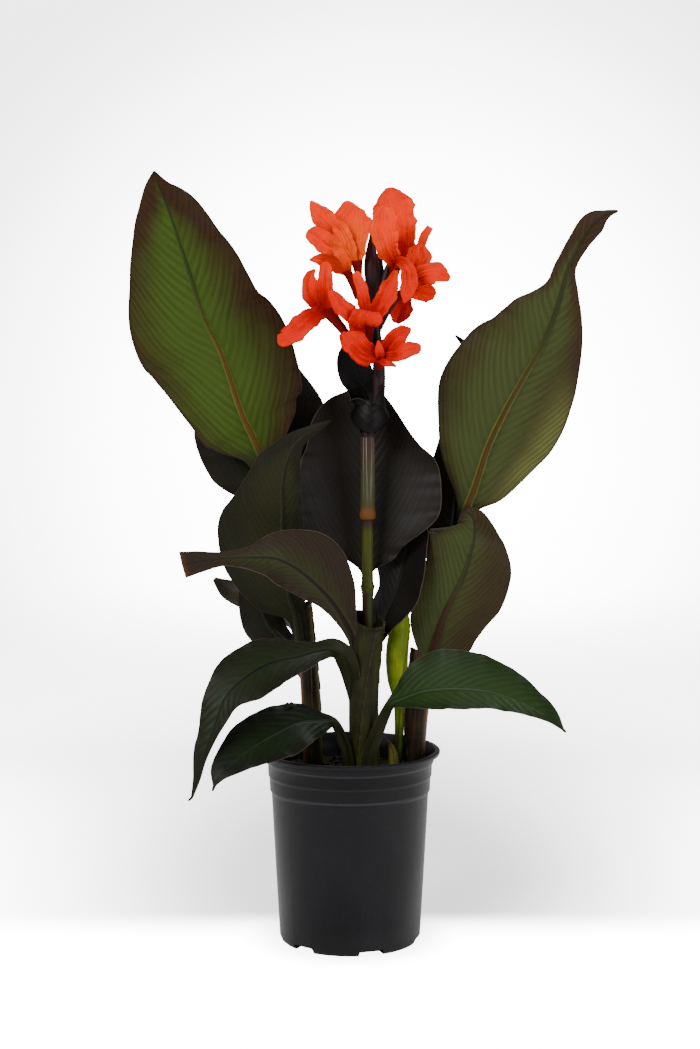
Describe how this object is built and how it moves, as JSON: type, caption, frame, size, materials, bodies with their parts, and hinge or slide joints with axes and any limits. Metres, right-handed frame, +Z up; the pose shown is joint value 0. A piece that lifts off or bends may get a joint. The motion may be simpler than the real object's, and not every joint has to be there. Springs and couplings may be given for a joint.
{
  "type": "potted canna",
  "caption": "Bronze-leaved canna with orange-red flowers, growing on upright stems in a round black nursery pot with a rolled rim.",
  "frame": {"origin": "middle of the pot's flat floor, on the surface it stands on", "axes": "+Z up, -Y toward the side that is seen first, +X to the right from there"},
  "size_m": [0.432, 0.1939, 0.6964],
  "materials": {
    "pot_plastic": "satin black",
    "potting_soil": "rough and damp",
    "stem_skin": "satin",
    "shoot_skin": "satin",
    "stalk_skin": "satin",
    "sheath_skin": "satin with a pale bloom",
    "spray_skin": "satin",
    "leaf_bronze": "satin",
    "leaf_green": "satin",
    "petal": "soft satin"
  },
  "bodies": {
    "root": {"pot": "pot_plastic", "soil": "potting_soil", "stem_centre": "stem_skin", "stem_left": "stem_skin", "stem_right": "stem_skin", "young_shoot": "shoot_skin", "sprout": "shoot_skin", "flower_stalk": "stalk_skin", "stalk_sheath": "sheath_skin", "flower_spray": "spray_skin", "leaf_upper_left": "leaf_green", "leaf_back_left": "leaf_green", "leaf_mid_left": "leaf_green", "leaf_twisted": "leaf_bronze", "leaf_small_back": "leaf_bronze", "leaf_back_low": "leaf_green", "leaf_droop_left": "leaf_bronze", "leaf_low_left": "leaf_bronze", "leaf_centre": "leaf_bronze", "leaf_clasping": "leaf_bronze", "leaf_upper_right": "leaf_green", "leaf_mid_right": "leaf_green", "leaf_back_right": "leaf_bronze", "leaf_folded": "leaf_bronze", "leaf_low_right": "leaf_bronze", "bloom_top_left": "petal", "bloom_left_curl": "petal", "bloom_top_right": "petal", "bloom_right": "petal", "bloom_centre": "petal", "bloom_left": "petal", "bloom_low": "petal"}
  },
  "joints": []
}
